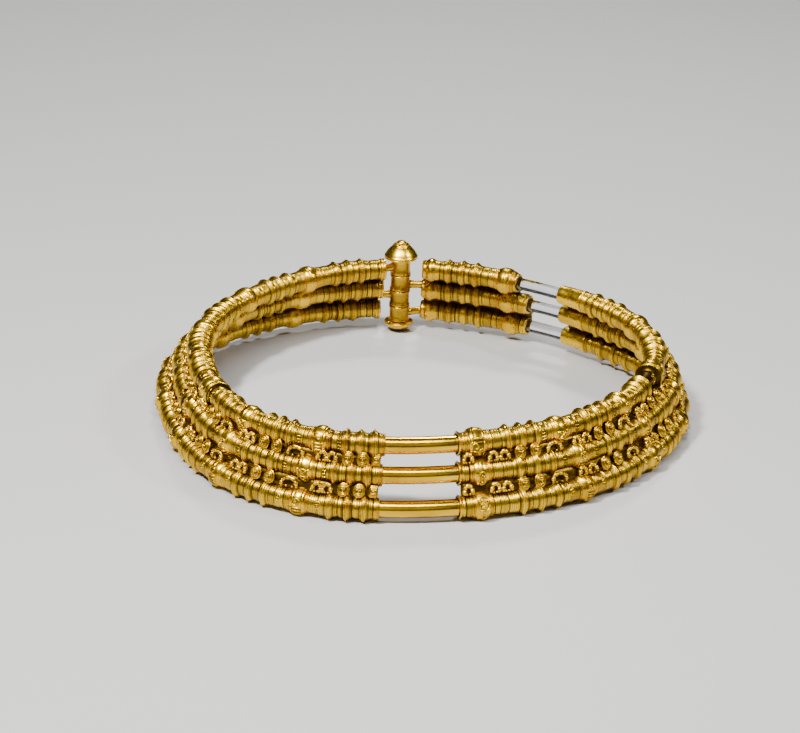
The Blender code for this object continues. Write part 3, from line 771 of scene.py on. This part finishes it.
def build_left_tube(ring, name, gold):
    """A ring of the left half, from its front end to its hinge end."""
    stops = (SWELLING_IN_GAP, *LEFT_SWELLINGS[ring], LEFT_HINGE_END)
    tube = Tube(ring, LEFT_FRONT_END, LEFT_HINGE_END, stops, 1.0 + ring)
    tube.clear_beads(LEFT_CRACKS[ring])
    tube.work()
    tube.shape_end(FRONT_COLLAR, True)
    tube.shape_end(HINGE_COLLAR, False)
    for crack in LEFT_CRACKS[ring]:
        tube.crack(*crack)
    dress(tube, ring)
    tube.skin_up(ROD_SEAT)
    if ring == TOP:
        add_knuckle(tube.shape, TOP, LEFT_HINGE_END, 1.0, 0)
    if ring == MIDDLE:
        add_knuckle(tube.shape, MIDDLE, LEFT_HINGE_END, 1.0, 2)
    tube.shape.make(f"left_{name}_gold", gold, "left_half", "gold", f"left_{name}_tube")


def build_right_tube(ring, name, gold):
    """A ring of the right half, from the mouth at the front to the loss at the back."""
    end = RIGHT_BREAK_ENDS[ring]
    swellings = RIGHT_SWELLINGS[ring]
    before = swellings[0] - STOP_BEFORE_START
    after = end - degrees_for(SHEET_COLLAR[-1][0] / 2.0, end, ring)
    tube = Tube(ring, RIGHT_FRONT_END, end, (before, *swellings, after), 4.0 + ring)
    tube.clear_beads(RIGHT_CRACKS[ring])
    tube.work(FIRST_RIGHT_TOP_RISE if ring == TOP else 0.0)
    tube.shape_end(MOUTH, True)
    tube.shape_end(SHEET_COLLAR, False)
    for crack in RIGHT_CRACKS[ring]:
        tube.crack(*crack)
    dress_first_right(tube)
    tube.swellings = tube.swellings[1:]
    dress(tube, ring + 1)
    tube.skin_up(ROD_SOCKET, CLEAR_SEAT)
    tube.shape.make(f"right_{name}_gold", gold, "right_half", "gold", f"right_{name}_tube")


def build_hinge_side_tube(ring, name, gold):
    """The short length of a ring between the clear rod and the hinge."""
    start = HINGE_SIDE_BREAK_ENDS[ring]
    stops = (start - STOP_BEFORE_START, HINGE_SIDE_SWELLING, HINGE_SIDE_END)
    tube = Tube(ring, start, HINGE_SIDE_END, stops, 7.0 + ring)
    tube.work()
    tube.shape_end(BREAK_RING, True)
    tube.shape_end(HINGE_FLARE, False)
    dress(tube, ring)
    tube.skin_up(CLEAR_SEAT)
    if ring == MIDDLE:
        add_disc(tube, tube.length - DISC_PLACE[0], DISC_PLACE[1])
        add_knuckle(tube.shape, MIDDLE, HINGE_SIDE_END, -1.0, 1)
    if ring == BOTTOM:
        add_knuckle(tube.shape, BOTTOM, HINGE_SIDE_END, -1.0, 3)
    tube.shape.make(f"hinge_side_{name}_gold", gold, "right_half", "gold",
                    f"hinge_side_{name}_tube")


def turned_rows(profile, sides):
    """Rows of points round the hinge's axis from radii and heights."""
    angle = np.linspace(0.0, 2.0 * math.pi, sides, endpoint=False)
    return np.array([
        np.stack([HINGE_FOOT[0] + radius * np.cos(angle), HINGE_FOOT[1] + radius * np.sin(angle),
                  np.full(sides, height)], axis=-1)
        for radius, height in profile])


def add_knuckle(shape, ring, tube_end, into_tube, index):
    """A knuckle with turned rims round a real bore, and the bar that carries it."""
    pitch = (RING_HEIGHTS[TOP] + 2.0 * HINGE_RISE) / KNUCKLE_COUNT
    high = RING_HEIGHTS[TOP] + HINGE_RISE - index * pitch - GAP / 2.0
    low = high - pitch + GAP
    bore = PIN_RADIUS + PIN_PLAY
    size = KNUCKLE_RADIUS
    rims = [(size - inset, low + rise) for inset, rise in KNUCKLE_RIM]
    rims += [(size - inset, high - drop) for inset, drop in reversed(KNUCKLE_RIM)]
    profile = [(bore, low), *rims, (bore, high)]
    # Painted shade on the bore and the rim steps
    shade = [1.0, *KNUCKLE_RIM_SHADE, *reversed(KNUCKLE_RIM_SHADE), 1.0]
    shape.add_grid(turned_rows(profile, ROUND_SIDES), np.repeat(shade, ROUND_SIDES), closed=True)
    end = ring_point(tube_end + into_tube * degrees_for(LUG_IN_TUBE, tube_end, ring), ring)
    half_height = LUG_HEIGHT / 2.0
    level = min(max(end[2], low + half_height + GAP), high - half_height - GAP)
    far = np.array([end[0], end[1], level])
    way = far - (HINGE_FOOT + (0.0, 0.0, level))
    near = far - way * (1.0 - (size - LUG_IN_KNUCKLE) / np.linalg.norm(way))
    side = np.array([way[1], -way[0], 0.0]) / np.linalg.norm(way)
    turn = np.radians([20.0, 70.0, 110.0, 160.0, 200.0, 250.0, 290.0, 340.0])
    rows = []
    for share, waist in LUG_WAIST:
        centre = near + (far - near) * share
        rows.append([centre + waist * (side * LUG_WIDTH / 2.0 * math.cos(t)
                                       + np.array([0.0, 0.0, half_height * math.sin(t)]))
                     for t in turn])
    # Painted shade on the bar between tube and knuckle
    shape.add_grid(np.array(rows), 0.3)


def build_hinge_pin(gold):
    """The pin, with a domed knob above, brimmed and buttoned, and a plainer one below."""
    top = RING_HEIGHTS[TOP] + HINGE_RISE + GAP
    base = -HINGE_RISE - GAP
    above = (*TOP_KNOB_BRIM, *TOP_KNOB_DOME, *TOP_KNOB_RING, *TOP_KNOB_BUTTON)
    profile = [(BOTTOM_KNOB_RADIUS * radius, base - BOTTOM_KNOB_HEIGHT * drop)
               for radius, drop in BOTTOM_KNOB]
    profile += [(PIN_RADIUS, base), (PIN_RADIUS, top)]
    profile += [(TOP_KNOB_RADIUS * radius, top + TOP_KNOB_HEIGHT * rise) for radius, rise in above]
    places = np.array(profile)
    # Painted shade in the hollows of the knobs' outlines
    sunk = (np.roll(places, 1, axis=0) + np.roll(places, -1, axis=0)) / 2.0 - places
    painted_shade_and_tone = np.clip(KNOB_SHADE_GAIN * np.max(sunk, axis=1), 0.0, 1.0)
    shape = Shape()
    shape.add_grid(turned_rows(profile, ROUND_SIDES), np.repeat(painted_shade_and_tone, ROUND_SIDES))
    reach = KNOB_GRAIN_PLACE[0] * TOP_KNOB_RADIUS
    level = top + KNOB_GRAIN_PLACE[1] * TOP_KNOB_HEIGHT
    for angle in np.linspace(0.0, 2.0 * math.pi, KNOB_GRAINS, endpoint=False):
        add_grain(shape, HINGE_FOOT + (reach * math.cos(angle), reach * math.sin(angle), level),
                  KNOB_GRAIN_RADIUS)
    shape.make("hinge_pin_gold", gold, "left_half", "gold", "hinge_pin")


class Groove:
    """A place in the groove under a ring: x runs along it, y up across it and z out of it."""

    def __init__(self, azimuth, upper, facing=1.0):
        above = ring_point(azimuth, upper)
        below = ring_point(azimuth, upper + 1)
        self.middle = (above + below) / 2.0
        spacing = np.linalg.norm(above - below)
        self.y = (above - below) / spacing
        self.half_gap = spacing / 2.0 - TUBE_RADIUS
        along = ring_point(azimuth + 0.5, upper) - ring_point(azimuth - 0.5, upper)
        self.x = along / np.linalg.norm(along)
        self.z = np.cross(self.x, self.y)
        if self.z @ outward(azimuth, upper) < 0.0:
            self.z = -self.z
        self.x = self.x * facing

    def at(self, x, y, z):
        """A point near this place."""
        return self.middle + self.x * x + self.y * y + self.z * z

    def axes(self, x, y, z):
        """Half-lengths of an egg along the groove, across it and out of it."""
        return [self.x * x, self.y * y, self.z * z]


def add_backing(shape, upper, first, last):
    """A strip that closes the groove between two rings behind the figures, dark with painted shade.
    """
    angle = np.linspace(0.0, 2.0 * math.pi, BACKING_SIDES, endpoint=False)
    rows = []
    for azimuth in np.linspace(first, last, BACKING_STEPS):
        spot = Groove(azimuth, upper)
        rows.append([spot.at(0.0, (spot.half_gap + BACKING_OVERLAP) * math.cos(t),
                             BACKING_OUT + BACKING_THICKNESS * math.sin(t)) for t in angle])
    shape.add_grid(np.array(rows), BACKING_SHADE)


def add_head(shape, azimuth, upper):
    """A plain round head with a rolled rim of hair, brows, eyes, nose and mouth."""
    spot = Groove(azimuth, upper)
    out = FIGURE_OUT
    # Painted shade on the face behind the features
    add_ball(shape, spot.at(0.0, 0.0, out - 0.1), spot.axes(1.9, 2.3, 1.5), 8, 14, 0.75)
    turn = np.linspace(0.0, 2.0 * math.pi, 22, endpoint=False)
    for wide, tall, deep, thick in HEAD_RIMS:
        rim = [spot.at(wide * math.sin(t), tall * math.cos(t), out + deep) for t in turn]
        add_wire(shape, rim, thick, closed=True)
    for side in (-1.0, 1.0):
        eye = spot.at(0.6 * side, 0.3, out + 1.3)
        add_ball(shape, eye, spot.axes(0.36, 0.28, 0.32), 4, 7)
        brow = [spot.at(side * x, 0.85 + 0.2 * math.sin(2.2 * x), out + 1.35 - 0.2 * x)
                for x in np.linspace(0.1, 1.15, 5)]
        add_wire(shape, brow, 0.24, 5)
    add_ball(shape, spot.at(0.0, -0.1, out + 1.5), spot.axes(0.3, 0.72, 0.42), 4, 6)
    mouth = [spot.at(x, -1.15 + 0.12 * math.cos(3.0 * x), out + 1.15)
             for x in np.linspace(-0.7, 0.7, 5)]
    add_wire(shape, mouth, 0.24, 5)
    # Painted shade on the ball behind the head
    add_ball(shape, spot.at(0.0, 0.0, out - 1.4), spot.axes(1.4, 1.7, 1.3), 4, 8, 0.9)


def add_beast(shape, azimuth, upper, facing, half_length):
    """A small curled beast: a thick arched back, a head low at one end and paws below."""
    spot = Groove(azimuth, upper, facing)
    out = FIGURE_OUT

    def arch(turn, lift):
        """A point over the arched back."""
        return spot.at(-half_length * math.cos(turn), BEAST_FOOT + BEAST_RISE * math.sin(turn),
                       out + lift)

    back = [arch(t, 0.4 * math.sin(t)) for t in np.linspace(-0.3, math.pi + 0.3, 18)]
    share = np.linspace(0.0, math.pi, 18)
    stripes = np.repeat(np.where(np.arange(18) % 3 == 0, 0.75, 0.1), 8)
    add_wire(shape, back, 0.5 + 0.3 * np.sin(share) + 0.1 * np.cos(9.0 * share), 8, painted_shade_and_tone=stripes)
    add_ball(shape, spot.at(half_length, -0.35, out + 0.5), spot.axes(0.95, 0.85, 0.85), 6, 9)
    add_ball(shape, spot.at(half_length + 0.35, -1.25, out + 0.55), spot.axes(0.5, 0.75, 0.5), 5, 7)
    add_ball(shape, spot.at(-half_length, -0.9, out + 0.2), spot.axes(0.85, 1.0, 0.7), 5, 8)
    # Light painted shade on the paws
    for x in (-0.95, -0.35, 0.5):
        add_ball(shape, spot.at(x * half_length, -1.7, out - 0.1), spot.axes(0.5, 0.42, 0.5), 4, 7,
                 0.2)
    add_grain(shape, spot.at(half_length + 0.15, 0.1, out + 1.25), 0.28)
    # Painted shade on the legs and the back wire that run into the groove
    for x in (-0.8, 0.8):
        leg = [spot.at(x * half_length, -1.7, out - 0.3), spot.at(x * half_length, -1.4, out - 1.2),
               spot.at(x * half_length, -0.8, out - 2.4)]
        add_wire(shape, leg, 0.42, 6, painted_shade_and_tone=0.9)
    top = [spot.at(0.0, 1.25, out + 0.2), spot.at(0.0, 1.1, out - 0.9), spot.at(0.0, 0.6, out - 2.4)]
    add_wire(shape, top, 0.45, 6, painted_shade_and_tone=0.9)
    for t in np.linspace(0.45, 2.7, 6):
        add_grain(shape, arch(t, 1.1), 0.3)


def add_stepped_end(shape, azimuth, upper):
    """The stepped block that closes a row beside the front gap."""
    spot = Groove(azimuth, upper)
    for number, (width, height) in enumerate(END_STEPS):
        out = FIGURE_OUT - 0.4 + 0.45 * number
        corners = [(-width, -height), (width, -height), (width, height), (-width, height)]
        path = []
        for first, second in zip(corners, corners[1:] + corners[:1]):
            for share in (0.08, 0.36, 0.64, 0.92):
                x = first[0] + share * (second[0] - first[0])
                y = first[1] + share * (second[1] - first[1])
                path.append(spot.at(x, y, out))
        add_wire(shape, path, 0.34, closed=True)
        # Painted shade on the block behind each frame
        add_ball(shape, spot.at(0.0, 0.0, out - 0.5), spot.axes(width, height, 0.7), 6, 10, 0.5)


def build_row(name, upper, start, end, swellings, gold, body):
    """A row of heads and beasts soldered in the groove under a ring."""
    radius = plan_radius((start + end) / 2.0, upper)
    direction = math.copysign(1.0, end - start)
    first = start + direction * math.degrees(ROW_END_ROOM / radius)
    last = end - direction * math.degrees(ROW_END_ROOM / radius)
    half = math.degrees(FIGURE_HALF / radius)
    shape = Shape()
    add_backing(shape, upper, first, last)
    if body == "left_half":
        add_stepped_end(shape, first + direction * half * STEPPED_END_PLACE, upper)
        figures = LEFT_FIGURES
    else:
        place = first + direction * half * FIRST_BEAST_PLACE
        add_beast(shape, place, upper, 1.0, BEAST_HALF_LENGTH)
        figures = RIGHT_FIGURES
    for near, far in zip(swellings, swellings[1:]):
        facing = 1.0
        for kind, share in figures:
            place = near + share * (far - near)
            room = min(direction * (place - first), direction * (last - place))
            if room < ROW_END_CLEARANCE * half:
                continue
            if kind == "head":
                add_head(shape, place, upper)
            elif kind == "arch":
                add_beast(shape, place, upper, -direction, ARCH_HALF_LENGTH)
            else:
                facing = -facing
                add_beast(shape, place, upper, direction * facing, BEAST_HALF_LENGTH)
    shape.make(f"{name}_gold", gold, body, "gold", name)


def build_rows(gold):
    """The rows of small heads and beasts in both grooves."""
    for upper, name in ((TOP, "upper"), (MIDDLE, "lower")):
        right_end = RIGHT_BREAK_ENDS[upper]
        for side, start, end, stops in (
            ("left", LEFT_FRONT_END, LEFT_HINGE_END,
             (SWELLING_IN_GAP, *LEFT_TOP_SWELLINGS, LEFT_HINGE_END)),
            ("right", RIGHT_FRONT_END, right_end, (*RIGHT_TOP_SWELLINGS, right_end)),
            ("hinge_side", HINGE_SIDE_BREAK_ENDS[upper], HINGE_SIDE_END,
             (HINGE_SIDE_SWELLING, HINGE_SIDE_END)),
        ):
            body = "left_half" if side == "left" else "right_half"
            build_row(f"{side}_{name}_figures", upper, start, end, stops, gold, body)


def build_rod(name, ring, start, end, radius, material, body, slot, node):
    """A smooth round rod along a ring, with rounded ends."""
    azimuth = np.linspace(start, end, ROD_STEPS)
    points = ring_point(azimuth, ring)
    reach = np.radians(np.minimum(np.abs(azimuth - start), np.abs(azimuth - end)))
    near_end = np.clip(1.0 - reach * TOP_RING_RADIUS / ROD_ROUNDING, 0.0, 1.0)
    shape = Shape()
    add_wire(shape, points, radius * np.sqrt(1.0 - 0.5 * near_end ** 2), ROD_SIDES)
    shape.make(name, material, body, slot, node)


def build_rods(gold, clear):
    """The smooth locking rods, and the clear rods across the loss."""
    for ring, name in enumerate(RING_NAMES):
        seat = degrees_for(ROD_SEAT[1] - GAP, LEFT_FRONT_END, ring)
        reach = degrees_for(ROD_ENGAGEMENT, RIGHT_FRONT_END, ring)
        build_rod(f"locking_rod_{name}_gold", ring, LEFT_FRONT_END - seat, RIGHT_FRONT_END + reach,
                  ROD_RADIUS, gold, "left_half", "gold", f"locking_rod_{name}")
        start = RIGHT_BREAK_ENDS[ring] - 360.0
        depth = degrees_for(CLEAR_ROD_DEPTH, start, ring)
        build_rod(f"clear_rod_{name}_acrylic", ring, start - depth,
                  HINGE_SIDE_BREAK_ENDS[ring] + depth, CLEAR_ROD_RADIUS, clear, "right_half",
                  "clear_acrylic", f"clear_rod_{name}")


def make_gold(name, polished):
    """Gold, finely uneven, darkened towards brown by each point's painted shade and tone: worked, or
    polished smooth.
    """
    material = bpy.data.materials.new(name)
    material.use_nodes = True
    tree = material.node_tree
    shader = tree.nodes["Principled BSDF"]
    shader.inputs["Metallic"].default_value = 1.0

    def add_node(kind, values):
        node = tree.nodes.new(kind)
        for socket, value in values.items():
            node.inputs[socket].default_value = value
        return node

    def join(source, output, target, socket):
        tree.links.new(source.outputs[output], target.inputs[socket])

    position = add_node("ShaderNodeTexCoord", {})
    broad = add_node("ShaderNodeTexNoise", {"Scale": BROAD_NOISE, "Detail": 6.0})
    fine = add_node("ShaderNodeTexNoise", {"Scale": FINE_NOISE, "Detail": 4.0})
    join(position, "Object", broad, "Vector")
    join(position, "Object", fine, "Vector")

    tone = add_node("ShaderNodeValToRGB", {})
    for element, place, colour in zip(tone.color_ramp.elements, (0.3, 0.7), (DEEP_GOLD, PALE_GOLD)):
        element.position = place
        element.color = colour
    # Painted shade: the per-point value mixes the gold towards dark brown in grooves, hollows and
    # under things
    painted_shade_and_tone = add_node("ShaderNodeAttribute", {})
    painted_shade_and_tone.attribute_name = "painted_shade_and_tone"
    depth = add_node("ShaderNodeMapRange", {"From Min": 0.15, "From Max": 1.0, "To Max": 0.97})
    mix = add_node("ShaderNodeMix", {})
    mix.data_type = "RGBA"
    mix.inputs["B"].default_value = PAINTED_SHADE_BROWN
    join(broad, "Fac", tone, "Fac")
    join(painted_shade_and_tone, "Fac", depth, "Value")
    join(depth, "Result", mix, "Factor")
    join(tone, "Color", mix, "A")
    join(mix, "Result", shader, "Base Color")

    rough = add_node("ShaderNodeMapRange", {"To Min": LEAST_ROUGHNESS[polished],
                                            "To Max": MOST_ROUGHNESS[polished]})
    dull = add_node("ShaderNodeMath", {1: GROOVE_ROUGHNESS})
    dull.operation = "MULTIPLY_ADD"
    join(fine, "Fac", rough, "Value")
    join(depth, "Result", dull, 0)
    join(rough, "Result", dull, 2)
    join(dull, "Value", shader, "Roughness")

    bump = add_node("ShaderNodeBump", {"Strength": BUMP_STRENGTH[polished], "Distance": 0.0002})
    join(fine, "Fac", bump, "Height")
    join(bump, "Normal", shader, "Normal")
    return material


def make_clear():
    """Clear acrylic."""
    material = bpy.data.materials.new("clear_acrylic")
    material.use_nodes = True
    shader = material.node_tree.nodes["Principled BSDF"]
    shader.inputs["Base Color"].default_value = CLEAR
    shader.inputs["Transmission Weight"].default_value = 1.0
    shader.inputs["Roughness"].default_value = 0.02
    shader.inputs["IOR"].default_value = 1.49
    return material


def make_camera():
    """The photo's viewpoint."""
    data = bpy.data.cameras.new("camera")
    data.lens = CAMERA_LENS
    data.clip_start = 0.01
    data.clip_end = 20.0
    rise = math.radians(CAMERA_ELEVATION)
    place = Vector((CAMERA_SIDE, -CAMERA_DISTANCE * math.cos(rise),
                    CAMERA_DISTANCE * math.sin(rise) + RING_HEIGHTS[TOP]))
    pitch, yaw, roll = (math.radians(v) for v in (CAMERA_PITCH, CAMERA_YAW, CAMERA_ROLL))
    forward = Vector((math.sin(yaw) * math.cos(pitch), math.cos(yaw) * math.cos(pitch),
                      -math.sin(pitch)))
    right = forward.cross(UP).normalized()
    above = right.cross(forward)
    turned_right = right * math.cos(roll) + above * math.sin(roll)
    turned_up = above * math.cos(roll) - right * math.sin(roll)
    basis = Matrix((turned_right, turned_up, -forward)).transposed()
    camera = bpy.data.objects.new("camera", data)
    bpy.context.scene.collection.objects.link(camera)
    location = STANCE @ (place * MM) + OFFSET
    camera.matrix_world = Matrix.Translation(location) @ (STANCE @ basis).to_4x4()
    bpy.context.scene.camera = camera


def make_stage():
    """A pale floor, the area lights and a nearly dark world."""
    bpy.ops.mesh.primitive_plane_add(size=FLOOR_SIZE)
    floor = bpy.context.object
    floor.name = "floor"
    material = bpy.data.materials.new("floor")
    material.use_nodes = True
    shader = material.node_tree.nodes["Principled BSDF"]
    shader.inputs["Base Color"].default_value = FLOOR_GREY
    shader.inputs["Roughness"].default_value = 0.6
    floor.data.materials.append(material)
    world = bpy.data.worlds.new("studio")
    world.use_nodes = True
    background = world.node_tree.nodes["Background"]
    background.inputs["Color"].default_value = DAYLIGHT
    background.inputs["Strength"].default_value = WORLD_STRENGTH
    bpy.context.scene.world = world
    for name, place, width, depth, power in LIGHTS:
        data = bpy.data.lights.new(name, "AREA")
        data.shape = "RECTANGLE"
        data.energy = power
        data.size = width
        data.size_y = depth
        light = bpy.data.objects.new(name, data)
        bpy.context.scene.collection.objects.link(light)
        light.location = place
        light.rotation_euler = (-Vector(place)).to_track_quat("-Z", "Y").to_euler()


make_camera()
make_stage()
worked_gold = make_gold("worked_gold", False)
for ring_index, ring_name in enumerate(RING_NAMES):
    build_left_tube(ring_index, ring_name, worked_gold)
    build_right_tube(ring_index, ring_name, worked_gold)
    build_hinge_side_tube(ring_index, ring_name, worked_gold)
build_rows(worked_gold)
build_hinge_pin(worked_gold)
build_rods(make_gold("polished_gold", True), make_clear())
